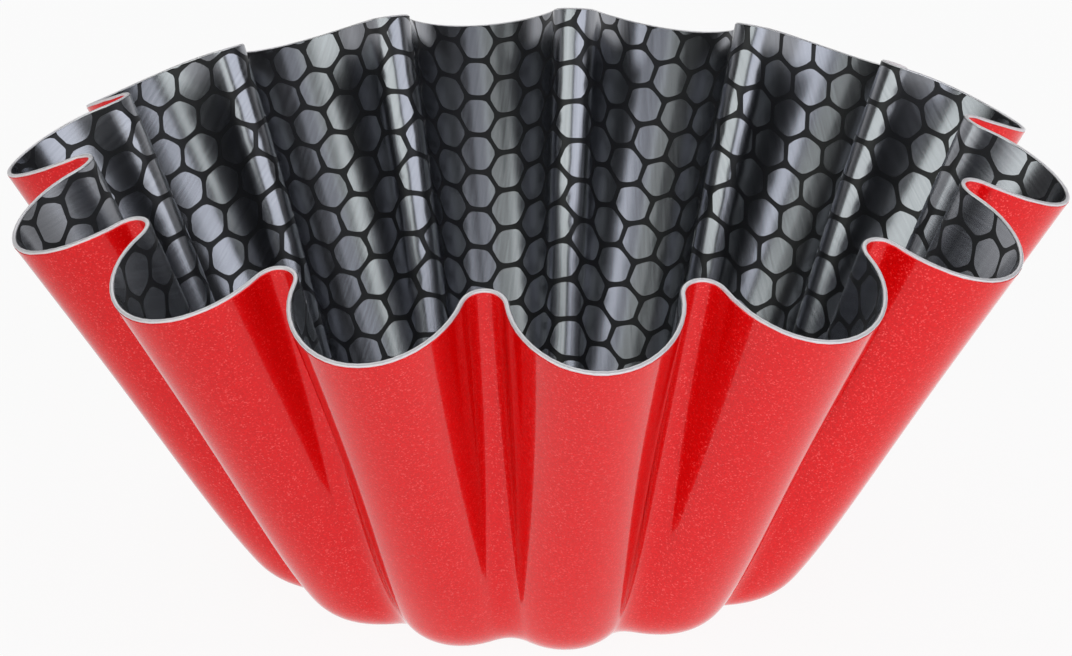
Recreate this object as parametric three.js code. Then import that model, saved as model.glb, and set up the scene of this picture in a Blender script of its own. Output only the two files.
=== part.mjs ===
// A fluted cake mould: one disc of aluminium sheet, coated on both faces and pressed into a scalloped cup.
// Millimetres, +Z up. The origin is the middle of the base's underside, and +X runs through a lobe.
import * as THREE from "three";

// Driving dimensions. Radii, depths and bends are measured to the middle of the sheet's thickness,
// heights from the surface that the mould stands on.
const FLUTE_COUNT = 14;
const RIM_LOBE_RADIUS = 109.5;
const RIM_FLUTE_DEPTH = 18.8;
const RIM_FOLD_BEND = 4.4;
const RIM_LOBE_HEIGHT = 82.7;
const RIM_FOLD_RISE = 9.7;
const BASE_LOBE_RADIUS = 56.8;
const BASE_FLUTE_DEPTH = 3.8;
const BASE_FOLD_BEND = 6.6;
const BASE_FILLET = 18;
const SHEET_THICKNESS = 0.8;
const OUTER_COAT_THICKNESS = 0.1;
const INNER_COAT_THICKNESS = 0.1;

// Above the corner the wall still turns upwards, a little at lobes and much more at folds, so that the flutes
// fade towards the base. Most of that turn is low on the wall: a higher fade puts it lower.
const LOBE_WALL_TURN_DEGREES = 5;
const FOLD_WALL_TURN_DEGREES = 15;
const WALL_TURN_FADE = 4;

// Facets along each part of the shape. Rows of the wall crowd towards the corner, where it turns most.
const LOBE_STEPS = 8;
const FOLD_STEPS = 4;
const FILLET_STEPS = 3;
const WALL_STEPS = 4;
const ROW_CROWDING = 1.4;

// How far each face of the layers lies from the middle of the sheet, outwards positive
const sheetOutside = SHEET_THICKNESS / 2;
const sheetInside = -SHEET_THICKNESS / 2;
const lacquerOutside = sheetOutside + OUTER_COAT_THICKNESS;
const nonstickInside = sheetInside - INNER_COAT_THICKNESS;
const basePlane = lacquerOutside;

const halfFlute = Math.PI / FLUTE_COUNT;
const stationsPerFlute = LOBE_STEPS + FOLD_STEPS;
const stationCount = FLUTE_COUNT * stationsPerFlute;

// One flute in plan runs from the middle of a lobe to the middle of the next. A wide lobe arc flows into
// a tight fold arc and out again. The lobe's radius is the one that lets the two arcs touch smoothly.
function flutePlan(lobeRadius, fluteDepth, foldBend) {
  const foldCentreRadius = lobeRadius - fluteDepth + foldBend;
  const alongLobeAxis = foldCentreRadius * Math.cos(halfFlute);
  const lobeBend =
    (lobeRadius ** 2 + foldCentreRadius ** 2 - 2 * lobeRadius * alongLobeAxis - foldBend ** 2) /
    (2 * (lobeRadius - alongLobeAxis + foldBend));
  const lobeCentre = new THREE.Vector2(lobeRadius - lobeBend, 0);
  const foldCentre = new THREE.Vector2(alongLobeAxis, foldCentreRadius * Math.sin(halfFlute));
  const meeting = foldCentre.clone().sub(lobeCentre).angle();
  const direction = (angle) => new THREE.Vector2(Math.cos(angle), Math.sin(angle));
  const onLobe = (angle) => lobeCentre.clone().addScaledVector(direction(angle), lobeBend);
  const onFold = (angle) => foldCentre.clone().addScaledVector(direction(angle), -foldBend);
  const halfLobe = LOBE_STEPS / 2;
  const halfFold = FOLD_STEPS / 2;
  const half = [];
  for (let i = 0; i < halfLobe; i++) half.push(onLobe((meeting * i) / halfLobe));
  for (let i = 0; i <= halfFold; i++) half.push(onFold(meeting + ((halfFlute - meeting) * i) / halfFold));
  const mirrored = half.slice(1, -1).reverse().map((p) => mirrorAcross(p, halfFlute));
  return [...half, ...mirrored];
}

function mirrorAcross(point, angle) {
  const turned = 2 * angle - point.angle();
  return new THREE.Vector2(Math.cos(turned), Math.sin(turned)).multiplyScalar(point.length());
}

// The same flute repeated all the way round
function ringPlan(flute) {
  const centre = new THREE.Vector2();
  const ring = [];
  for (let k = 0; k < FLUTE_COUNT; k++) {
    for (const point of flute) ring.push(point.clone().rotateAround(centre, 2 * halfFlute * k));
  }
  return ring;
}

const rimPlan = ringPlan(flutePlan(RIM_LOBE_RADIUS, RIM_FLUTE_DEPTH, RIM_FOLD_BEND));
const basePlan = ringPlan(flutePlan(BASE_LOBE_RADIUS, BASE_FLUTE_DEPTH, BASE_FOLD_BEND));

// The blank was a round disc, so its edge lies on one arc about a pivot: folds, being nearer the axis,
// stand higher than lobes.
const rimFoldRadius = RIM_LOBE_RADIUS - RIM_FLUTE_DEPTH;
const lobeRise = RIM_LOBE_HEIGHT - basePlane;
const foldRise = lobeRise + RIM_FOLD_RISE;
const pivot = (RIM_LOBE_RADIUS ** 2 - rimFoldRadius ** 2 + lobeRise ** 2 - foldRise ** 2) / (2 * RIM_FLUTE_DEPTH);
const slant = Math.hypot(RIM_LOBE_RADIUS - pivot, lobeRise);
const rimRise = (radius) => Math.sqrt(slant ** 2 - (radius - pivot) ** 2);

// The middle of the sheet as rows of stations: the flat's edge, the rounded corner, then the wall to the rim.
// Each station climbs in the upright plane through its base corner and its rim point.
function climb(station) {
  const corner = basePlan[station];
  const outward = rimPlan[station].clone().sub(corner);
  const run = outward.length();
  const rimRadius = rimPlan[station].length();
  const rise = rimRise(rimRadius);
  const lean = Math.atan2(rise, run);
  const flatEnd = -BASE_FILLET * Math.tan(lean / 2);
  const place = (along, up) => {
    const plan = corner.clone().addScaledVector(outward, along / run);
    return new THREE.Vector3(plan.x, plan.y, basePlane + up);
  };
  const towardsFold = (RIM_LOBE_RADIUS - rimRadius) / RIM_FLUTE_DEPTH;
  const wallTurn = THREE.MathUtils.lerp(LOBE_WALL_TURN_DEGREES, FOLD_WALL_TURN_DEGREES, towardsFold);
  const cornerTurn = lean - THREE.MathUtils.degToRad(wallTurn);
  const onCorner = (turn) => [flatEnd + BASE_FILLET * Math.sin(turn), BASE_FILLET * (1 - Math.cos(turn))];
  const points = [];
  for (let i = 0; i < FILLET_STEPS; i++) points.push(place(...onCorner((cornerTurn * i) / FILLET_STEPS)));
  const [wallAlong, wallUp] = onCorner(cornerTurn);
  const wallLength = Math.hypot(run - wallAlong, rise - wallUp);
  const wallLean = Math.atan2(rise - wallUp, run - wallAlong);
  const outwardSlope = Math.tan(wallLean - cornerTurn);
  for (let i = 0; i <= WALL_STEPS; i++) {
    const share = (i / WALL_STEPS) ** ROW_CROWDING;
    const reach = wallLength * share;
    const bow = reach * outwardSlope * (1 - share) ** WALL_TURN_FADE;
    points.push(
      place(
        wallAlong + reach * Math.cos(wallLean) + bow * Math.sin(wallLean),
        wallUp + reach * Math.sin(wallLean) - bow * Math.cos(wallLean),
      ),
    );
  }
  return points;
}

const climbs = Array.from({ length: stationCount }, (_, station) => climb(station));
const rowCount = FILLET_STEPS + WALL_STEPS + 1;
const middlePoints = [new THREE.Vector3(0, 0, basePlane)];
for (let row = 0; row < rowCount; row++) {
  for (const points of climbs) middlePoints.push(points[row]);
}
const centreIndex = 0;
const indexOf = (row, station) => 1 + row * stationCount + (station % stationCount);

// Triangles of the flat base and of the wall, all facing outwards
const baseTriangles = [];
const wallTriangles = [];
for (let s = 0; s < stationCount; s++) {
  baseTriangles.push(centreIndex, indexOf(0, s + 1), indexOf(0, s));
  for (let row = 0; row < rowCount - 1; row++) {
    const [a, b] = [indexOf(row, s), indexOf(row, s + 1)];
    const [c, d] = [indexOf(row + 1, s), indexOf(row + 1, s + 1)];
    wallTriangles.push(a, b, d, a, d, c);
  }
}

// Which way the sheet faces at each point. The flat faces straight down up to its edge.
function sheetNormals() {
  const surface = new THREE.BufferGeometry().setFromPoints(middlePoints);
  surface.setIndex([...baseTriangles, ...wallTriangles]);
  surface.computeVertexNormals();
  const attribute = surface.getAttribute("normal");
  const normals = middlePoints.map((_, i) => new THREE.Vector3().fromBufferAttribute(attribute, i));
  for (let i = 0; i <= stationCount; i++) normals[i].set(0, 0, -1);
  return normals;
}
const normals = sheetNormals();

// A layer of the laminate: its outer face, its inner face, and a strip along each open edge.
// Layers that share a face share its corners exactly.
function layerGeometry(triangles, edgeRows, inside, outside) {
  const face = (offset) => middlePoints.map((p, i) => p.clone().addScaledVector(normals[i], offset));
  const points = [...face(outside), ...face(inside)];
  const innerOf = (index) => index + middlePoints.length;
  const index = [...triangles];
  for (let i = 0; i < triangles.length; i += 3) {
    index.push(innerOf(triangles[i]), innerOf(triangles[i + 2]), innerOf(triangles[i + 1]));
  }
  for (const { row, facesUp } of edgeRows) {
    for (let s = 0; s < stationCount; s++) {
      const [a, b] = facesUp ? [indexOf(row, s), indexOf(row, s + 1)] : [indexOf(row, s + 1), indexOf(row, s)];
      index.push(a, b, innerOf(b), a, innerOf(b), innerOf(a));
    }
  }
  const used = new Map();
  for (const i of index) if (!used.has(i)) used.set(i, used.size);
  const geometry = new THREE.BufferGeometry().setFromPoints([...used.keys()].map((i) => points[i]));
  geometry.setIndex(index.map((i) => used.get(i)));
  geometry.computeVertexNormals();
  return geometry;
}

const rimEdge = { row: rowCount - 1, facesUp: true };
const flatEdgeOfBase = { row: 0, facesUp: true };
const flatEdgeOfWall = { row: 0, facesUp: false };
const wholeSheet = [...baseTriangles, ...wallTriangles];

const aluminium = new THREE.MeshStandardMaterial({ color: 0xd4d6d8, roughness: 0.35, metalness: 1 });
const redLacquer = new THREE.MeshStandardMaterial({ color: 0xd8262c, roughness: 0.18, metalness: 0.3 });
const nonstick = new THREE.MeshStandardMaterial({ color: 0x3a3b40, roughness: 0.42, metalness: 0.2 });

function layer(name, material, triangles, edgeRows, inside, outside) {
  const mesh = new THREE.Mesh(layerGeometry(triangles, edgeRows, inside, outside), material.clone());
  mesh.name = name;
  return mesh;
}

const mould = new THREE.Group();
mould.add(
  layer("pressed_aluminium_sheet", aluminium, wholeSheet, [rimEdge], sheetInside, sheetOutside),
  layer("red_wall_lacquer", redLacquer, wallTriangles, [rimEdge, flatEdgeOfWall], sheetOutside, lacquerOutside),
  layer("red_base_lacquer", redLacquer, baseTriangles, [flatEdgeOfBase], sheetOutside, lacquerOutside),
  layer("nonstick_lining", nonstick, wholeSheet, [rimEdge], nonstickInside, sheetInside),
);

export default mould;
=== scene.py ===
# %% [markdown]
# # A fluted cake mould
# The mould starts as a flat round blank of aluminium sheet. One face is sprayed with red lacquer, the
# other with black non-stick, and a grey honeycomb is printed over the black. Only then does a press push
# the blank into a fluted cup. This lesson works in the same order: everything is laid out on the flat
# blank, and one group of Geometry Nodes does the pressing for every layer.

# %% Load the solids that the looks are built around
import math
from functools import partial, reduce

import bpy
from mathutils import Matrix, Vector


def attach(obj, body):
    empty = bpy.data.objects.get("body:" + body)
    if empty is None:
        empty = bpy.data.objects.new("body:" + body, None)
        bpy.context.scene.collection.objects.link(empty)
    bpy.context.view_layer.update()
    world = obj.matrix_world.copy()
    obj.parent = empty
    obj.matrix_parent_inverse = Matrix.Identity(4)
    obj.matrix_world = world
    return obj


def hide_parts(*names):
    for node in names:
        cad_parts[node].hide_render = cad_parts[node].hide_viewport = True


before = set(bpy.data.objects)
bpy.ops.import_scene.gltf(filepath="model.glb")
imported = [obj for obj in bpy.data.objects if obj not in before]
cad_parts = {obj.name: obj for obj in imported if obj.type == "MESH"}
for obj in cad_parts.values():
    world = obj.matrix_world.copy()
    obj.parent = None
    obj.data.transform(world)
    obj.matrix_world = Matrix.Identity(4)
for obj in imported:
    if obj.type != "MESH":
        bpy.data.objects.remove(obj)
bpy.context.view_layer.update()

print("solids:", ", ".join(sorted(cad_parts)))

# %% [markdown]
# ## Sizes
# These are the sizes that the solids were made from, in metres. Radii and depths are measured to the
# middle of the sheet. They become named inputs of every node tree, so a mould with more flutes or a
# steeper wall is a matter of changing a number in the modifier.

# %% Sizes of the pressing
MM = 0.001
PRESSING = {
    "Flutes": 14,
    "Rim lobe radius": 109.5 * MM,
    "Rim flute depth": 18.8 * MM,
    "Rim fold bend": 4.4 * MM,
    "Rim lobe height": 82.7 * MM,
    "Rim fold rise": 9.7 * MM,
    "Base lobe radius": 56.8 * MM,
    "Base flute depth": 3.8 * MM,
    "Base fold bend": 6.6 * MM,
    "Base fillet": 18 * MM,
    "Lobe wall turn": math.radians(5),
    "Fold wall turn": math.radians(15),
    "Wall turn fade": 4.0,
    "Middle height": 0.5 * MM,
}
SHEET_FACE = 0.4 * MM
COAT_THICKNESS = 0.1 * MM
print("rim across the lobes:", round(2 * PRESSING["Rim lobe radius"] / MM, 1), "mm")

# %% [markdown]
# ## Wires
# A node tree that follows a formula needs dozens of Math nodes, and placing each one by hand hides the
# formula. A wire is one number on its way through a tree. Adding or multiplying wires adds the Math node
# for it, so the formulas below read as they would on paper.


# %% A wire, and the nodes that arithmetic on wires adds
class Wire:
    """One value on its way through a node tree."""

    def __init__(self, socket):
        self.socket = socket

    def __add__(self, other):
        return math_node("ADD", self, other)

    def __radd__(self, other):
        return math_node("ADD", other, self)

    def __sub__(self, other):
        return math_node("SUBTRACT", self, other)

    def __rsub__(self, other):
        return math_node("SUBTRACT", other, self)

    def __mul__(self, other):
        return math_node("MULTIPLY", self, other)

    def __rmul__(self, other):
        return math_node("MULTIPLY", other, self)

    def __truediv__(self, other):
        return math_node("DIVIDE", self, other)

    def __rtruediv__(self, other):
        return math_node("DIVIDE", other, self)


def fill(socket, value):
    """Plugs a wire into a socket, or writes a plain value there."""
    if isinstance(value, Wire):
        socket.id_data.links.new(value.socket, socket)
    else:
        socket.default_value = value


def add_node(tree, kind, inputs=(), **settings):
    """Adds a node with its settings, and fills its inputs by name or in order."""
    node = tree.nodes.new(kind)
    for name, value in settings.items():
        setattr(node, name, value)
    for key, value in inputs.items() if isinstance(inputs, dict) else enumerate(inputs):
        fill(node.inputs[key], value)
    return node


def tree_of(values):
    return next(value.socket.id_data for value in values if isinstance(value, Wire))


def math_node(operation, *values):
    node = add_node(tree_of(values), "ShaderNodeMath", values, operation=operation)
    return Wire(node.outputs[0])


def vector_node(operation, *values):
    node = add_node(tree_of(values), "ShaderNodeVectorMath", values, operation=operation)
    return Wire(node.outputs["Vector"])


sine = partial(math_node, "SINE")
cosine = partial(math_node, "COSINE")
tangent = partial(math_node, "TANGENT")
angle_of = partial(math_node, "ARCTAN2")
root = partial(math_node, "SQRT")
power = partial(math_node, "POWER")
size_of = partial(math_node, "ABSOLUTE")
sign_of = partial(math_node, "SIGN")
nearest = partial(math_node, "ROUND")
smaller = partial(math_node, "MINIMUM")
larger = partial(math_node, "MAXIMUM")


def between(value, low, high):
    return smaller(larger(value, low), high)


def length_of(x, y):
    return root(x * x + y * y)


def vector(x, y, z):
    node = add_node(tree_of((x, y, z)), "ShaderNodeCombineXYZ", (x, y, z))
    return Wire(node.outputs[0])


def parts_of(place):
    node = add_node(tree_of((place,)), "ShaderNodeSeparateXYZ", (place,))
    return [Wire(socket) for socket in node.outputs]


# %% Helpers that open and close a tree, and use one tree inside another
FLOAT = "NodeSocketFloat"
VECTOR = "NodeSocketVector"
GEOMETRY = "NodeSocketGeometry"
MATERIAL = "NodeSocketMaterial"


def open_tree(name, inputs, outputs):
    """A new Geometry Nodes tree with named inputs. Returns it and a wire for each input."""
    tree = bpy.data.node_groups.new(name, "GeometryNodeTree")
    for label, value in inputs.items():
        kind = MATERIAL if value is None else FLOAT
        socket = tree.interface.new_socket(label, in_out="INPUT", socket_type=kind)
        if value is not None:
            socket.default_value = value
    for label, kind in outputs.items():
        tree.interface.new_socket(label, in_out="OUTPUT", socket_type=kind)
    entry = add_node(tree, "NodeGroupInput")
    return tree, {label: Wire(entry.outputs[label]) for label in inputs}


def close_tree(tree, outputs):
    add_node(tree, "NodeGroupOutput", outputs)
    print(tree.name, "has", len(tree.nodes), "nodes")


def moved(tree, geometry, place):
    """Moves every point of a geometry to its place."""
    node = add_node(tree, "GeometryNodeSetPosition", {"Geometry": geometry, "Position": place})
    return Wire(node.outputs[0])


def use_tree(tree, inner, inputs):
    node = add_node(tree, "GeometryNodeGroup", inputs, node_tree=inner)
    return {socket.name: Wire(socket) for socket in node.outputs}


# %% [markdown]
# ## The pressing
# Seen from above, one flute is two arcs that touch smoothly: a wide lobe and a tight fold. The same pair
# of arcs, at other sizes, draws the corner of the base and the rim. Every station round the rim is joined
# to the same station round the base by a wall line, with a fillet where the wall leaves the flat. Above
# the fillet the wall still turns upwards, a little at lobes and much more at folds, so the flutes fade
# towards the base.
#
# A place on the cup is given by its reach, the distance from the centre along the bent sheet, and by its
# wall line. Wall lines are numbered like angles: a lobe's middle has the angle at which it stands.


# %% The two arcs of a flute
def flute_arcs(half_flute, lobe_radius, flute_depth, fold_bend):
    """The lobe arc's centre and radius, the fold arc's radius, and the angle at which they touch."""
    fold_centre = lobe_radius - flute_depth + fold_bend
    ahead = fold_centre * cosine(half_flute)
    aside = fold_centre * sine(half_flute)
    squares = lobe_radius * lobe_radius + fold_centre * fold_centre - fold_bend * fold_bend
    lobe_bend = (squares - 2 * lobe_radius * ahead) / (2 * (lobe_radius - ahead + fold_bend))
    lobe_centre = lobe_radius - lobe_bend
    meeting = angle_of(aside, ahead - lobe_centre)
    return lobe_centre, lobe_bend, fold_bend, meeting


def place_on_flute(arcs, half_flute, lobe_share, fold_share):
    """A place on half a flute, from the middle of the lobe to the middle of the fold."""
    lobe_centre, lobe_bend, fold_bend, meeting = arcs
    on_lobe = meeting * lobe_share
    on_fold = meeting - (meeting - half_flute) * fold_share
    x = lobe_centre + lobe_bend * cosine(on_lobe) + fold_bend * (cosine(meeting) - cosine(on_fold))
    y = lobe_bend * sine(on_lobe) + fold_bend * (sine(meeting) - sine(on_fold))
    return x, y


def lengths_on_flute(arcs, half_flute):
    """The length of the lobe arc and of the fold arc in half a flute."""
    _, lobe_bend, fold_bend, meeting = arcs
    return lobe_bend * meeting, fold_bend * (meeting - half_flute)


def lobe_part_of(arcs, half_flute):
    """How much of half a flute's length is lobe. The rest is fold."""
    lobe_length, fold_length = lengths_on_flute(arcs, half_flute)
    return lobe_length / (lobe_length + fold_length)


ARC_SIZES = ("lobe radius", "flute depth", "fold bend")


def rim_arcs(sizes, half_flute):
    return flute_arcs(half_flute, *[sizes["Rim " + size] for size in ARC_SIZES])


def base_arcs(sizes, half_flute):
    return flute_arcs(half_flute, *[sizes["Base " + size] for size in ARC_SIZES])


# %% The height of the rim above the flat, which dips at the lobes because the blank was round
def rim_rise(sizes, rim_radius):
    lobe_radius = sizes["Rim lobe radius"]
    fold_radius = lobe_radius - sizes["Rim flute depth"]
    lobe_rise = sizes["Rim lobe height"] - sizes["Middle height"]
    fold_rise = lobe_rise + sizes["Rim fold rise"]
    across = lobe_radius * lobe_radius - fold_radius * fold_radius
    upright = lobe_rise * lobe_rise - fold_rise * fold_rise
    pivot = (across + upright) / (2 * sizes["Rim flute depth"])
    slant = length_of(lobe_radius - pivot, lobe_rise)
    return root(slant * slant - (rim_radius - pivot) * (rim_radius - pivot))


# %% Which flute a place belongs to, and how far round it
press, wires = open_tree(
    "Press the blank",
    {"Reach": 0.0, "Line": 0.0, **PRESSING},
    {"Place": VECTOR, "Flat": FLOAT, "Corner": FLOAT, "Wall": FLOAT},
)
reach, line = wires["Reach"], wires["Line"]
half_flute = math.pi / wires["Flutes"]
flute = nearest(line / (2 * half_flute))
from_lobe = line - flute * (2 * half_flute)
share = size_of(from_lobe) / half_flute
lobe_part = lobe_part_of(rim_arcs(wires, half_flute), half_flute)
lobe_share = smaller(share / lobe_part, 1)
fold_share = larger((share - lobe_part) / (1 - lobe_part), 0)
rim_x, rim_y = place_on_flute(rim_arcs(wires, half_flute), half_flute, lobe_share, fold_share)
base_x, base_y = place_on_flute(base_arcs(wires, half_flute), half_flute, lobe_share, fold_share)

# %% The fillet and the wall along its wall line
run = length_of(rim_x - base_x, rim_y - base_y)
out_x = (rim_x - base_x) / run
out_y = (rim_y - base_y) / run
rim_radius = length_of(rim_x, rim_y)
rise = rim_rise(wires, rim_radius)
lean = angle_of(rise, run)
fillet = wires["Base fillet"]
setback = fillet * tangent(lean / 2)
flat = length_of(base_x - out_x * setback, base_y - out_y * setback)

towards_fold = (wires["Rim lobe radius"] - rim_radius) / wires["Rim flute depth"]
lobe_turn, fold_turn = wires["Lobe wall turn"], wires["Fold wall turn"]
wall_turn = lobe_turn + (fold_turn - lobe_turn) * towards_fold
corner_turn = lean - wall_turn
corner = fillet * corner_turn
wall_run = run + setback - fillet * sine(corner_turn)
wall_rise = rise - fillet * (1 - cosine(corner_turn))
wall = length_of(wall_run, wall_rise)
wall_lean = angle_of(wall_rise, wall_run)

# %% The place on the cup, where the flat goes from round at its middle to scalloped at its edge
bent = between((reach - flat) / fillet, 0, corner_turn)
climbed = larger(reach - flat - corner, 0)
to_rim = larger(1 - climbed / wall, 0)
bow = climbed * tangent(wall_lean - corner_turn) * power(to_rim, wires["Wall turn fade"])
along = fillet * sine(bent) - setback + climbed * cosine(wall_lean) + bow * sine(wall_lean)
up = fillet * (1 - cosine(bent)) + climbed * sine(wall_lean) - bow * cosine(wall_lean)

inwards = smaller(reach / flat, 1)
scalloped = inwards * inwards * inwards
round_part = reach * (1 - scalloped)
x = (base_x + out_x * along) * inwards * scalloped + round_part * cosine(share * half_flute)
y = (base_y + out_y * along) * inwards * scalloped + round_part * sine(share * half_flute)
y = y * sign_of(from_lobe)
flute_turn = flute * (2 * half_flute)
place = vector(
    x * cosine(flute_turn) - y * sine(flute_turn),
    x * sine(flute_turn) + y * cosine(flute_turn),
    wires["Middle height"] + up,
)
close_tree(press, {"Place": place, "Flat": flat, "Corner": corner, "Wall": wall})

# %% [markdown]
# A coat lies beside the middle of the sheet, not on it. Pressing three places a hair apart gives two
# directions in the surface, and their cross product points straight out of it, towards the red face.

# %% Pressing a place that lies beside the middle of the sheet
HAIR = 0.05 * MM
CLEAR_OF_CENTRE = 1.0 * MM
press_layer, wires = open_tree(
    "Press a layer",
    {"Reach": 0.0, "Line": 0.0, "Outwards": 0.0, **PRESSING},
    {"Place": VECTOR},
)
sizes = {label: wires[label] for label in PRESSING}


def pressed(reach, line):
    return use_tree(press_layer, press, {"Reach": reach, "Line": line, **sizes})["Place"]


clear_reach = larger(wires["Reach"], CLEAR_OF_CENTRE)
here = pressed(clear_reach, wires["Line"])
ahead = pressed(clear_reach + HAIR, wires["Line"])
aside = pressed(clear_reach, wires["Line"] + HAIR / clear_reach)
step_ahead = vector_node("SUBTRACT", ahead, here)
step_aside = vector_node("SUBTRACT", aside, here)
outwards = vector_node("NORMALIZE", vector_node("CROSS_PRODUCT", step_aside, step_ahead))
amount = wires["Outwards"]
middle = pressed(wires["Reach"], wires["Line"])
place = vector_node("ADD", middle, vector_node("MULTIPLY", outwards, vector(amount, amount, amount)))
close_tree(press_layer, {"Place": place})

# %% [markdown]
# ## One layer of the sheet
# Every layer is a thin closed skin. A flat grid serves for all of them: one way it runs round the flutes,
# the other way it runs from the centre out to the rim on the red side, over the edge, and back to the
# centre on the other side. Pressing the grid's points bends it into the cup, and merging the points that
# meet closes the seam and the two centres. More stations sit on the tight folds than on the wide lobes.

# %% How finely a layer is divided
LOBE_STATIONS = 12
FOLD_STATIONS = 10
FLAT_ROWS = 8
CORNER_ROWS = 8
WALL_ROWS = 16
ROW_CROWDING = 1.4
GUARD_ROWS = 1
EDGE_ROWS = 4
EDGE_GUARD = 0.3 * MM
WELD = 0.001 * MM
half_flute_stations = LOBE_STATIONS + FOLD_STATIONS
stations = 2 * half_flute_stations * PRESSING["Flutes"]
face_rows = FLAT_ROWS + CORNER_ROWS + WALL_ROWS + GUARD_ROWS
rows = 2 * face_rows + EDGE_ROWS
print("a layer has", stations, "stations and", rows, "rows")


# %% Helpers for values that rise step by step or wander
def ramp(value, start, steps):
    """Goes from 0 to 1 over the given steps."""
    return between((value - start) / steps, 0, 1)


def noise(tree, place, scale, detail):
    inputs = {"Vector": place, "Scale": scale, "Detail": detail}
    return Wire(add_node(tree, "ShaderNodeTexNoise", inputs).outputs[0])


# %% The tree of a layer, and the wall line of each point of its grid
layer_tree, wires = open_tree(
    "Layer of the sheet",
    {
        "Outer face": SHEET_FACE,
        "Inner face": -SHEET_FACE,
        "Edge gap": 0.0,
        "Edge raggedness": 0.0,
        "Edge round": 0.0,
        **PRESSING,
        "Material": None,
    },
    {"Geometry": GEOMETRY},
)
sizes = {label: wires[label] for label in PRESSING}
grid = add_node(layer_tree, "GeometryNodeMeshGrid", (1.0, 1.0, stations + 1, rows + 1))
grid_x, grid_y, _ = parts_of(Wire(add_node(layer_tree, "GeometryNodeInputPosition").outputs[0]))

half_flute = math.pi / wires["Flutes"]
lobe_part = lobe_part_of(rim_arcs(wires, half_flute), half_flute)
flute_place = (grid_x + 0.5) * wires["Flutes"]
flute = nearest(flute_place)
from_lobe = flute_place - flute
station = size_of(from_lobe) * (2 * half_flute_stations)
on_lobe = ramp(station, 0, LOBE_STATIONS) * lobe_part
on_fold = ramp(station, LOBE_STATIONS, FOLD_STATIONS) * (1 - lobe_part)
line = half_flute * (2 * flute + sign_of(from_lobe) * (on_lobe + on_fold))

# %% The reach of each point. Films end a ragged little way below the rim
RAGGED_SCALE = 60.0
RAGGED_DETAIL = 3.0
row = nearest((grid_y + 0.5) * rows)
face_row = smaller(smaller(row, rows - row), face_rows)
lengths = use_tree(layer_tree, press, {"Line": line, **sizes})
round_the_rim = vector(cosine(line), sine(line), 0.0)
ragged = noise(layer_tree, round_the_rim, RAGGED_SCALE, RAGGED_DETAIL)
edge_gap = wires["Edge gap"] + wires["Edge raggedness"] * (ragged - 0.5)
plain_wall = lengths["Wall"] - edge_gap - EDGE_GUARD
wall_start = FLAT_ROWS + CORNER_ROWS
reach = lengths["Flat"] * ramp(face_row, 0, FLAT_ROWS)
reach = reach + lengths["Corner"] * ramp(face_row, FLAT_ROWS, CORNER_ROWS)
reach = reach + plain_wall * power(ramp(face_row, wall_start, WALL_ROWS), ROW_CROWDING)
reach = reach + EDGE_GUARD * ramp(face_row, wall_start + WALL_ROWS, GUARD_ROWS)
over_edge = ramp(row, face_rows, EDGE_ROWS) * math.pi
reach = reach + wires["Edge round"] * sine(over_edge)
outer, inner = wires["Outer face"], wires["Inner face"]
outwards = (outer + inner) / 2 + (outer - inner) / 2 * cosine(over_edge)

# %% Bending the grid into the layer
grid_place = {"Reach": reach, "Line": line, "Outwards": outwards, **sizes}
place = use_tree(layer_tree, press_layer, grid_place)["Place"]
bent = moved(layer_tree, Wire(grid.outputs[0]), place)
welded = add_node(layer_tree, "GeometryNodeMergeByDistance", {"Geometry": bent, "Distance": WELD})
smooth = add_node(layer_tree, "GeometryNodeSetShadeSmooth", {"Geometry": Wire(welded.outputs[0])})


def finish_tree(tree, geometry, material):
    """Ends a tree in real mesh with its finish on."""
    real = add_node(tree, "GeometryNodeRealizeInstances", {"Geometry": geometry})
    inputs = {"Geometry": Wire(real.outputs[0]), "Material": material}
    painted = add_node(tree, "GeometryNodeSetMaterial", inputs)
    close_tree(tree, {"Geometry": Wire(painted.outputs[0])})


finish_tree(layer_tree, Wire(smooth.outputs[0]), wires["Material"])


# %% Turning a tree into a plain mesh piece
def make_piece(name, tree, slot, replaced=(), **inputs):
    """Runs a tree once, keeps the mesh, and hangs the piece on the mould's one body."""
    carrier = bpy.data.objects.new(name + "_nodes", bpy.data.meshes.new(name + "_nodes"))
    bpy.context.scene.collection.objects.link(carrier)
    modifier = carrier.modifiers.new("Nodes", "NODES")
    modifier.node_group = tree
    inlets = [item for item in tree.interface.items_tree if item.in_out == "INPUT"]
    identifiers = {inlet.name: inlet.identifier for inlet in inlets}
    for label, value in inputs.items():
        modifier[identifiers[label.replace("_", " ")]] = value
    depsgraph = bpy.context.evaluated_depsgraph_get()
    mesh = bpy.data.meshes.new_from_object(carrier.evaluated_get(depsgraph))
    bpy.data.objects.remove(carrier)
    piece = bpy.data.objects.new(name, mesh)
    bpy.context.scene.collection.objects.link(piece)
    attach(piece, "root")
    if replaced:
        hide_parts(*replaced)
    triangles = sum(len(face.vertices) - 2 for face in mesh.polygons)
    print(name, "has", triangles, "triangles,", [round(side / MM, 1) for side in piece.dimensions], "mm")


# %% [markdown]
# ## Finishes
# A finish is a Principled shader with its even values set on its own sockets, and nodes only where
# something varies over the surface. Patterns that belong to the blank, such as brushing and print, read
# the blank's UV map, so that they bend with the sheet. Patterns of the spray, such as metal fleck, read
# Object coordinates.


# %% Helpers for finishes
def new_finish(name, **values):
    """A material and its Principled shader, with even values set on the shader's own sockets."""
    material = bpy.data.materials.new(name)
    material.use_nodes = True
    shader = material.node_tree.nodes["Principled BSDF"]
    for label, value in values.items():
        shader.inputs[label.replace("_", " ")].default_value = value
    print("finish:", name)
    return material, material.node_tree, shader


def object_place(tree):
    return Wire(add_node(tree, "ShaderNodeTexCoord").outputs["Object"])


def mix_values(amount, first, second):
    return first + (second - first) * amount


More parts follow.
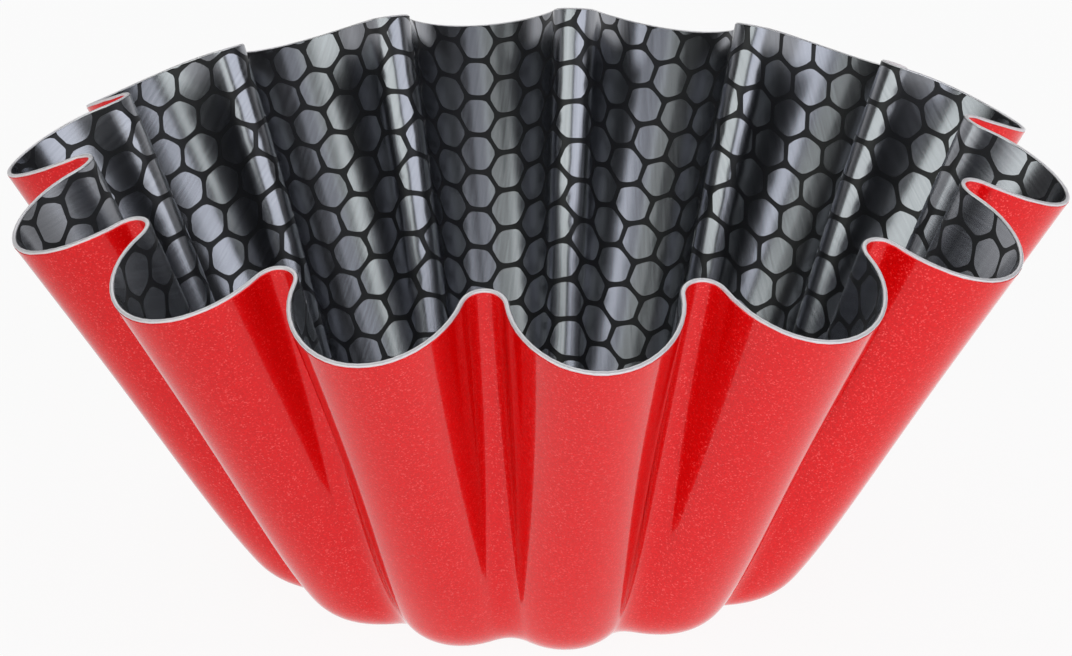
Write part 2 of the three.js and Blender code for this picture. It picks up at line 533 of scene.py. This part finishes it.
def mix_colours(tree, amount, first, second):
    node = add_node(tree, "ShaderNodeMix", data_type="RGBA")
    colours = [socket for socket in node.inputs if socket.type == "RGBA"]
    fill(node.inputs["Factor"], amount)
    fill(colours[0], first)
    fill(colours[1], second)
    return Wire(next(socket for socket in node.outputs if socket.type == "RGBA"))


def bump(tree, height, distance, strength):
    inputs = {"Height": height, "Distance": distance, "Strength": strength}
    return Wire(add_node(tree, "ShaderNodeBump", inputs).outputs[0])


# %% [markdown]
# ### Bare aluminium
# The blank was cut after coating, so the cut edge is bare. It shows as a pale line of about a millimetre
# all round the rim, a little rough from the shears.

# %% The cut edge
BARE_METAL = (0.95, 0.93, 0.96, 1.0)
DULL_METAL = (0.82, 0.80, 0.83, 1.0)
SMOOTH_CUT = 0.3
ROUGH_CUT = 0.55
GRAIN_SCALE = 900.0
GRAIN_DETAIL = 3.0
GRAIN_DEPTH = 0.05 * MM
GRAIN_STRENGTH = 0.6
bare_metal, tree, shader = new_finish("bare_cut_aluminium", Metallic=0.4)
grain = noise(tree, object_place(tree), GRAIN_SCALE, GRAIN_DETAIL)
fill(shader.inputs["Base Color"], mix_colours(tree, grain, DULL_METAL, BARE_METAL))
fill(shader.inputs["Roughness"], mix_values(grain, SMOOTH_CUT, ROUGH_CUT))
fill(shader.inputs["Normal"], bump(tree, grain, GRAIN_DEPTH, GRAIN_STRENGTH))

# %% The bare sheet
make_piece(
    "pressed_sheet",
    layer_tree,
    "bare_aluminium",
    ["pressed_aluminium_sheet"],
    Outer_face=SHEET_FACE,
    Inner_face=-SHEET_FACE,
    Edge_round=0.15 * MM,
    Material=bare_metal,
)

# %% [markdown]
# ### Red lacquer
# The outside is a red metallic lacquer under a clear top. Seen close, it is full of fine bright fleck.
# The clear top mirrors the room, which the coat of the Principled shader gives, while each fleck tips the
# red layer under it a little way off the surface.

# %% The lacquer with its metal fleck
DEEP_RED = (0.74, 0.005, 0.008, 1.0)
BRIGHT_RED = (0.90, 0.007, 0.010, 1.0)
PALE_FLECK = (0.95, 0.08, 0.08, 1.0)
FLECK_SIZE = 0.28 * MM
BRIGHT_FLECK_FROM = 0.86
FLECK_TIP = (0.2, 0.2, 0.2)
FLECK_MIDDLE = (0.5, 0.5, 0.5)
RIPPLE_SCALE = 350.0
RIPPLE_DETAIL = 2.0
RIPPLE_DEPTH = 0.01 * MM
RIPPLE_STRENGTH = 0.5
lacquer, tree, shader = new_finish(
    "red_fleck_lacquer",
    Roughness=0.3,
    Metallic=0.8,
    Specular_IOR_Level=0.0,
    Specular_Tint=(1.0, 0.3, 0.3, 1.0),
    Coat_Weight=1.0,
    Coat_Roughness=0.05,
    Coat_IOR=1.37,
)
place = object_place(tree)
flecks = add_node(tree, "ShaderNodeTexVoronoi", {"Vector": place, "Scale": 1 / FLECK_SIZE})
fleck_tint = Wire(flecks.outputs["Color"])
fleck_pick, _, _ = parts_of(fleck_tint)
bright = ramp(fleck_pick, BRIGHT_FLECK_FROM, 1 - BRIGHT_FLECK_FROM)
body = mix_colours(tree, fleck_pick, DEEP_RED, BRIGHT_RED)
fill(shader.inputs["Base Color"], mix_colours(tree, bright, body, PALE_FLECK))
facing = Wire(add_node(tree, "ShaderNodeNewGeometry").outputs["Normal"])
tip = vector_node("MULTIPLY", vector_node("SUBTRACT", fleck_tint, FLECK_MIDDLE), FLECK_TIP)
fill(shader.inputs["Normal"], vector_node("NORMALIZE", vector_node("ADD", facing, tip)))
ripple = noise(tree, place, RIPPLE_SCALE, RIPPLE_DETAIL)
fill(shader.inputs["Coat Normal"], bump(tree, ripple, RIPPLE_DEPTH, RIPPLE_STRENGTH))

# %% The red coat
make_piece(
    "red_lacquer_coat",
    layer_tree,
    "red_lacquer",
    ["red_wall_lacquer", "red_base_lacquer"],
    Outer_face=SHEET_FACE + COAT_THICKNESS,
    Inner_face=SHEET_FACE,
    Edge_gap=0.35 * MM,
    Edge_raggedness=0.5 * MM,
    Material=lacquer,
)

# %% [markdown]
# ### Black non-stick
# The inside is first sprayed black. It only shows as the dark net between the printed cells.

# %% The dark lining
BLACK = (0.012, 0.012, 0.014, 1.0)
GREY_BLACK = (0.020, 0.020, 0.023, 1.0)
SPECKLE_SCALE = 2500.0
SPECKLE_DETAIL = 2.0
SPECKLE_DEPTH = 0.02 * MM
SPECKLE_STRENGTH = 0.4
nonstick, tree, shader = new_finish("black_nonstick", Roughness=0.38, Specular_IOR_Level=0.3)
speckle = noise(tree, object_place(tree), SPECKLE_SCALE, SPECKLE_DETAIL)
fill(shader.inputs["Base Color"], mix_colours(tree, speckle, BLACK, GREY_BLACK))
fill(shader.inputs["Normal"], bump(tree, speckle, SPECKLE_DEPTH, SPECKLE_STRENGTH))

# %% The black coat
make_piece(
    "nonstick_coat",
    layer_tree,
    "honeycomb_nonstick",
    ["nonstick_lining"],
    Outer_face=-SHEET_FACE,
    Inner_face=-SHEET_FACE - COAT_THICKNESS,
    Edge_gap=0.2 * MM,
    Edge_raggedness=0.3 * MM,
    Material=nonstick,
)

# %% [markdown]
# ## The honeycomb print
# Grey six-sided cells cover the inside in a regular honeycomb, printed while the sheet is flat. It could
# be drawn in the material alone, but a drawn net turns soft when the finish is baked, so each cell is a
# thin plate with real edges. Cells are laid out on the flat blank, trimmed to its edge, and pressed with
# the same group as the sheet. Two things happen to the print on its way up the wall: the draw stretches
# it a little towards the rim, and a fold takes more of the sheet near the rim than near the base, where
# it is hardly begun.
#
# The folds are so tight that a plain six-sided face would cut through them. A cell is therefore a block
# of narrow strips that run towards the rim, and the strips are shortened until their ends draw the six
# sides.

# %% Finding the wall line that a place on the blank ends up on
find_line, wires = open_tree("Find the wall line", {"Reach": 0.0, "Turn": 0.0, **PRESSING}, {"Line": FLOAT})
sizes = {label: wires[label] for label in PRESSING}
half_flute = math.pi / wires["Flutes"]
flute = nearest(wires["Turn"] / (2 * half_flute))
from_lobe = wires["Turn"] - flute * (2 * half_flute)
share = size_of(from_lobe) / half_flute
lobe_middle = use_tree(find_line, press, {"Line": 0.0, **sizes})
half_corner = lobe_middle["Corner"] / 2
up_wall = ramp(wires["Reach"], lobe_middle["Flat"] + half_corner, half_corner + lobe_middle["Wall"])
rim_lobe, rim_fold = lengths_on_flute(rim_arcs(wires, half_flute), half_flute)
base_lobe, base_fold = lengths_on_flute(base_arcs(wires, half_flute), half_flute)
lobe_here = base_lobe + (rim_lobe - base_lobe) * up_wall
fold_here = base_fold + (rim_fold - base_fold) * up_wall
lobe_part_here = lobe_here / (lobe_here + fold_here)
lobe_part = rim_lobe / (rim_lobe + rim_fold)
on_lobe = smaller(share / lobe_part_here, 1) * lobe_part
on_fold = larger((share - lobe_part_here) / (1 - lobe_part_here), 0) * (1 - lobe_part)
line = half_flute * (2 * flute + sign_of(from_lobe) * (on_lobe + on_fold))
close_tree(find_line, {"Line": line})

# %% Sizes of the print
CELL_STRIPS = 10
CELL_ROWS = 2
BLOCK = 1.0 * MM
STRIP_END = 0.97
SMALLEST_SLOPE = 0.02
HALF_SIDE = math.radians(30)
SIDE_ANGLES = [HALF_SIDE, 3 * HALF_SIDE, 5 * HALF_SIDE]
CELL_COLUMNS = 45
CELL_LINES = 41
PRINT = {
    "Cell pitch": 8.395 * MM,
    "Cell gap": 0.9 * MM,
    "Cell corner": 1.4 * MM,
    "Cell roundness": 0.95,
    "Print turn": math.radians(9.32),
    "Print shift X": 5.695 * MM,
    "Print shift Y": 2.062 * MM,
    "Draw": 1.033,
    "Print top": 0.08 * MM,
    "Print root": 0.03 * MM,
    "Print edge gap": 0.25 * MM,
    "Lining face": SHEET_FACE + COAT_THICKNESS,
}
print("printed cells:", round(PRINT["Cell pitch"] / MM, 2), "mm apart")

# %% The lattice of cells on the flat blank
print_tree, wires = open_tree(
    "Honeycomb print",
    {**PRINT, **PRESSING, "Material": None},
    {"Geometry": GEOMETRY},
)
sizes = {label: wires[label] for label in PRESSING}
pitch = wires["Cell pitch"]
column_step = pitch * math.cos(HALF_SIDE)
lattice = add_node(
    print_tree,
    "GeometryNodeMeshGrid",
    (column_step * (CELL_COLUMNS - 1), pitch * (CELL_LINES - 1), CELL_COLUMNS, CELL_LINES),
)
position = Wire(add_node(print_tree, "GeometryNodeInputPosition").outputs[0])
flat_x, flat_y, flat_z = parts_of(position)
column = nearest(flat_x / column_step)
odd_column = size_of(column - 2 * nearest(column / 2))
staggered_y = flat_y + odd_column * pitch / 2
print_turn = wires["Print turn"]
cell_place = vector(
    flat_x * cosine(print_turn) - staggered_y * sine(print_turn) + wires["Print shift X"],
    flat_x * sine(print_turn) + staggered_y * cosine(print_turn) + wires["Print shift Y"],
    0.0,
)
staggered = moved(print_tree, Wire(lattice.outputs[0]), cell_place)

# %% Dropping the cells that lie beyond the blank's edge
turn_here = angle_of(flat_y, flat_x)
radius_here = length_of(flat_x, flat_y)
lengths = use_tree(print_tree, press, {"Line": turn_here, **sizes})
edge_reach = lengths["Flat"] + lengths["Corner"] + lengths["Wall"] - wires["Print edge gap"]
blank_edge = edge_reach / wires["Draw"]
beyond = math_node("GREATER_THAN", radius_here, blank_edge + pitch / 2)
kept = add_node(
    print_tree,
    "GeometryNodeDeleteGeometry",
    {"Geometry": staggered, "Selection": beyond},
    domain="POINT",
)

# %% A block of strips on every lattice point
CENTRE_NAME = "cell centre"
marked = add_node(
    print_tree,
    "GeometryNodeStoreNamedAttribute",
    {"Geometry": Wire(kept.outputs[0]), "Name": CENTRE_NAME, "Value": position},
    data_type="FLOAT_VECTOR",
    domain="POINT",
)
block = add_node(
    print_tree,
    "GeometryNodeMeshCube",
    ((2 * BLOCK, 2 * BLOCK, 2 * BLOCK), CELL_STRIPS + 1, CELL_ROWS + 1, 2),
)
blocks = add_node(
    print_tree,
    "GeometryNodeInstanceOnPoints",
    {"Points": Wire(marked.outputs[0]), "Instance": Wire(block.outputs[0])},
)
real_blocks = add_node(print_tree, "GeometryNodeRealizeInstances", (Wire(blocks.outputs[0]),))
centre_node = add_node(
    print_tree,
    "GeometryNodeInputNamedAttribute",
    {"Name": CENTRE_NAME},
    data_type="FLOAT_VECTOR",
)
centre = Wire(centre_node.outputs["Attribute"])
centre_x, centre_y, _ = parts_of(centre)
block_x, block_y, block_z = parts_of(vector_node("SUBTRACT", position, centre))

# %% The six sides, as the length of each strip
heading = angle_of(centre_y, centre_x)
half_cell = (pitch - wires["Cell gap"]) / 2
off_corner = math_node("WRAP", heading - print_turn - SIDE_ANGLES[0], HALF_SIDE, -HALF_SIDE)
corner_reach = half_cell / math.cos(HALF_SIDE)
round_reach = corner_reach * wires["Cell roundness"]
half_width = smaller(corner_reach * cosine(off_corner), round_reach)
across = block_x / BLOCK * half_width * STRIP_END
round_top = root(round_reach * round_reach - across * across)
tops = [round_top]
roots = [round_top]
for side_angle in SIDE_ANGLES:
    off_side = heading - print_turn - side_angle
    slope = larger(size_of(cosine(off_side)), SMALLEST_SLOPE)
    sideways = across * sine(off_side) * sign_of(cosine(off_side))
    tops.append((half_cell - sideways) / slope)
    roots.append((half_cell + sideways) / slope)


def rounded_least(lengths, rounding):
    return reduce(lambda least, length: math_node("SMOOTH_MIN", least, length, rounding), lengths)


strip_top = rounded_least(tops, wires["Cell corner"])
strip_root = rounded_least(roots, wires["Cell corner"])
along = (strip_top - strip_root) / 2 + block_y / BLOCK * (strip_top + strip_root) / 2
cut_place = vector(
    centre_x + across * sine(heading) + along * cosine(heading),
    centre_y - across * cosine(heading) + along * sine(heading),
    block_z,
)
cells = moved(print_tree, Wire(real_blocks.outputs[0]), cut_place)

# %% Trimming the cells to the blank's edge
trim_disc = add_node(
    print_tree,
    "GeometryNodeMeshCylinder",
    {"Vertices": stations, "Radius": 1.0, "Depth": 4 * BLOCK},
)
edge_place = vector(blank_edge * cosine(turn_here), blank_edge * sine(turn_here), flat_z)
trim = moved(print_tree, Wire(trim_disc.outputs[0]), edge_place)
trimmed = add_node(print_tree, "GeometryNodeMeshBoolean", operation="INTERSECT", solver="MANIFOLD")
for mesh in (cells, trim):
    fill(trimmed.inputs["Mesh 2"], mesh)

# %% Pressing the print
SHARP_EDGE = math.radians(45)
BLANK_MAP = "blank"
edge_angle = add_node(print_tree, "GeometryNodeInputMeshEdgeAngle").outputs["Unsigned Angle"]
folded = math_node("GREATER_THAN", Wire(edge_angle), SHARP_EDGE)
smooth = add_node(print_tree, "GeometryNodeSetShadeSmooth", (Wire(trimmed.outputs[0]),))
shaded = add_node(
    print_tree,
    "GeometryNodeSetShadeSmooth",
    {"Geometry": Wire(smooth.outputs[0]), "Selection": folded, "Shade Smooth": False},
    domain="EDGE",
)
mapped = add_node(
    print_tree,
    "GeometryNodeStoreNamedAttribute",
    {"Geometry": Wire(shaded.outputs[0]), "Name": BLANK_MAP, "Value": vector(flat_x, flat_y, 0.0)},
    data_type="FLOAT2",
    domain="CORNER",
)
lift = wires["Print top"] + wires["Print root"]
outwards = wires["Print root"] - wires["Lining face"] - lift * (flat_z / BLOCK + 1) / 2
reach_here = radius_here * wires["Draw"]
blank_place = {"Reach": reach_here, "Turn": turn_here, **sizes}
line_here = use_tree(print_tree, find_line, blank_place)["Line"]
cup_place = {"Reach": reach_here, "Line": line_here, "Outwards": outwards, **sizes}
place = use_tree(print_tree, press_layer, cup_place)["Place"]
finish_tree(print_tree, moved(print_tree, Wire(mapped.outputs[0]), place), wires["Material"])

# %% [markdown]
# ### Grey print
# The cells have the sheen of brushed pewter: they go from nearly white where they mirror a lamp to almost
# black where they mirror the dark of the cup. Fine brush lines run straight across the blank.

# %% The brushed grey of the cells
PEWTER = (0.35, 0.36, 0.39, 1.0)
DARK_PEWTER = (0.22, 0.225, 0.245, 1.0)
SMOOTH_PRINT = 0.18
BRUSHED_PRINT = 0.28
BRUSH_LINES = (1600.0, 60.0, 1.0)
BRUSH_SCALE = 1.0
BRUSH_DETAIL = 3.0
BRUSH_DEPTH = 0.01 * MM
BRUSH_STRENGTH = 0.08
pewter, tree, shader = new_finish("brushed_grey_print", Metallic=1.0)
on_blank = Wire(add_node(tree, "ShaderNodeUVMap", uv_map=BLANK_MAP).outputs[0])
brushing = noise(tree, vector_node("MULTIPLY", on_blank, BRUSH_LINES), BRUSH_SCALE, BRUSH_DETAIL)
fill(shader.inputs["Base Color"], mix_colours(tree, brushing, DARK_PEWTER, PEWTER))
fill(shader.inputs["Roughness"], mix_values(brushing, SMOOTH_PRINT, BRUSHED_PRINT))
fill(shader.inputs["Normal"], bump(tree, brushing, BRUSH_DEPTH, BRUSH_STRENGTH))

# %% The print
make_piece("honeycomb_print", print_tree, "honeycomb_nonstick", Material=pewter)

# %% [markdown]
# ## Floor and light
# The floor is plain and white, and the outside of the mould, which leans over it, mirrors it. The
# mirrored floor glows, with painted shade on its left. A large soft lamp stands behind the mould. Two wide
# soft
# lamps stand low on the left and right of the camera, with a smaller and dimmer one above each: the folds
# inside mirror them as bright streaks. Those on the left are a little green and those on the right a
# little blue. Above and between the lamps the room is dark, which gives the inside its black flanks.

# %% Floor
FLOOR_SIZE = 8.0
FLOOR_CORNERS = ((-1, -1), (1, -1), (1, 1), (-1, 1))
FLOOR_TONE = (0.86, 0.86, 0.86, 1.0)
FLOOR_WHITENESS = 0.93
WHITE = (1.0, 1.0, 1.0, 1.0)
DIM_SIDE = 0.64
BRIGHT_SIDE = 1.06
DIM_FROM = -0.32
DIM_WIDTH = 0.40
floor_mesh = bpy.data.meshes.new("floor")
corners = [(x * FLOOR_SIZE / 2, y * FLOOR_SIZE / 2, 0.0) for x, y in FLOOR_CORNERS]
floor_mesh.from_pydata(corners, [], [tuple(range(len(corners)))])
floor = bpy.data.objects.new("floor", floor_mesh)
bpy.context.scene.collection.objects.link(floor)

# %% The floor's finish: white to the eye, and in mirrors a glow with painted shade, dimmer on its left
floor_finish, tree, shader = new_finish("pale_floor", Base_Color=FLOOR_TONE, Roughness=0.9)
paths = add_node(tree, "ShaderNodeLightPath").outputs
to_camera = Wire(paths["Is Camera Ray"])
mirrored = larger(Wire(paths["Is Glossy Ray"]), Wire(paths["Is Transmission Ray"]))
seen = larger(to_camera, mirrored)
across, _, _ = parts_of(object_place(tree))
# Painted shade: the floor's glow in mirrors is turned down on its left, which darkens the left of the red
# outside
painted_floor_glow = mix_values(ramp(across, DIM_FROM, DIM_WIDTH), DIM_SIDE, BRIGHT_SIDE)
strength = mix_values(to_camera, painted_floor_glow, 1)
white = add_node(tree, "ShaderNodeEmission", {"Color": WHITE, "Strength": strength})
blended = add_node(
    tree,
    "ShaderNodeMixShader",
    (seen * FLOOR_WHITENESS, Wire(shader.outputs[0]), Wire(white.outputs[0])),
)
fill(tree.nodes["Material Output"].inputs["Surface"], Wire(blended.outputs[0]))
floor_mesh.materials.append(floor_finish)
print("floor:", FLOOR_SIZE, "m square")

# %% A soft lamp
MOULD_MIDDLE = Vector((0.0, 0.0, 0.045))
VIEW_TURN = math.radians(5.797)


def soft_lamp(name, azimuth, elevation, distance, width, height, radiance, colour):
    """A soft lamp that faces the mould. Azimuth 0 is behind the camera."""
    data = bpy.data.lights.new(name, "AREA")
    data.shape = "RECTANGLE"
    data.size = width
    data.size_y = height
    data.energy = radiance * math.pi * width * height
    data.color = colour
    lamp = bpy.data.objects.new(name, data)
    turned = math.radians(azimuth) + VIEW_TURN
    raised = math.radians(elevation)
    aim = Matrix.Rotation(turned, 3, "Z") @ Vector((0.0, -math.cos(raised), math.sin(raised)))
    lamp.location = MOULD_MIDDLE + aim * distance
    lamp.rotation_euler = aim.to_track_quat("Z", "Y").to_euler()
    lamp.visible_camera = False
    bpy.context.scene.collection.objects.link(lamp)
    print(name, "at", [round(value, 2) for value in lamp.location])


# %% Lamps
PLAIN = (1.0, 1.0, 1.0)
GREENISH = (0.95, 1.0, 0.95)
BLUISH = (0.90, 0.93, 1.0)
BACK = {"elevation": 57, "distance": 1.8, "width": 2.6, "height": 1.2, "radiance": 1.3}
SIDE = {"elevation": 23, "distance": 1.4, "width": 1.5, "height": 0.62, "radiance": 1.9}
UPPER = {"elevation": 46, "distance": 1.4, "width": 0.8, "height": 0.5, "radiance": 0.6}
soft_lamp("back_lamp", azimuth=180, colour=PLAIN, **BACK)
soft_lamp("left_lamp", azimuth=-37, colour=GREENISH, **SIDE)
soft_lamp("right_lamp", azimuth=37, colour=BLUISH, **SIDE)
soft_lamp("upper_left_lamp", azimuth=-18, colour=GREENISH, **UPPER)
soft_lamp("upper_right_lamp", azimuth=18, colour=BLUISH, **UPPER)

# %% The room: white to the eye and near the horizon, dark above
GLOW_FADES_FROM = 0.10
GLOW_FADES_OVER = 0.16
DARK_LEVEL = 0.025
NO_LIGHT = (0.0, 0.0, 0.0, 1.0)
world = bpy.data.worlds.new("studio")
bpy.context.scene.world = world
world.use_nodes = True
tree = world.node_tree
background = tree.nodes["Background"]
to_camera = Wire(add_node(tree, "ShaderNodeLightPath").outputs["Is Camera Ray"])
_, _, height = parts_of(Wire(add_node(tree, "ShaderNodeTexCoord").outputs["Generated"]))
glow = mix_values(ramp(height, GLOW_FADES_FROM, GLOW_FADES_OVER), 1, DARK_LEVEL)
level = larger(to_camera, glow)
fill(background.inputs["Color"], mix_colours(tree, level, NO_LIGHT, WHITE))
bpy.context.scene.view_settings.view_transform = "Standard"
print("room:", DARK_LEVEL, "of white above the horizon")

# %% [markdown]
# ## Camera
# The camera stands about a metre away with a long lens, looking down some twenty degrees. It is turned a
# little round the mould, because a lobe does not point straight at it.

# %% Camera
VIEW_FROM = Vector((0.0, -940.85, 406.93)) * MM
VIEW_AT = Vector((0.30, 0.0, 50.51)) * MM
VIEW_ROLL = -0.0055
LENS_MM = 162.16
SENSOR_MM = 36.0
around = Matrix.Rotation(VIEW_TURN, 4, "Z")
camera_data = bpy.data.cameras.new("camera")
camera_data.sensor_fit = "HORIZONTAL"
camera_data.sensor_width = SENSOR_MM
camera_data.lens = LENS_MM
camera = bpy.data.objects.new("camera", camera_data)
looking = (VIEW_AT - VIEW_FROM).to_track_quat("-Z", "Y").to_matrix().to_4x4()
roll = Matrix.Rotation(VIEW_ROLL, 4, "Z")
camera.matrix_world = around @ Matrix.Translation(VIEW_FROM) @ looking @ roll
bpy.context.scene.collection.objects.link(camera)
bpy.context.scene.camera = camera
print("camera at", [round(value, 3) for value in camera.matrix_world.translation])
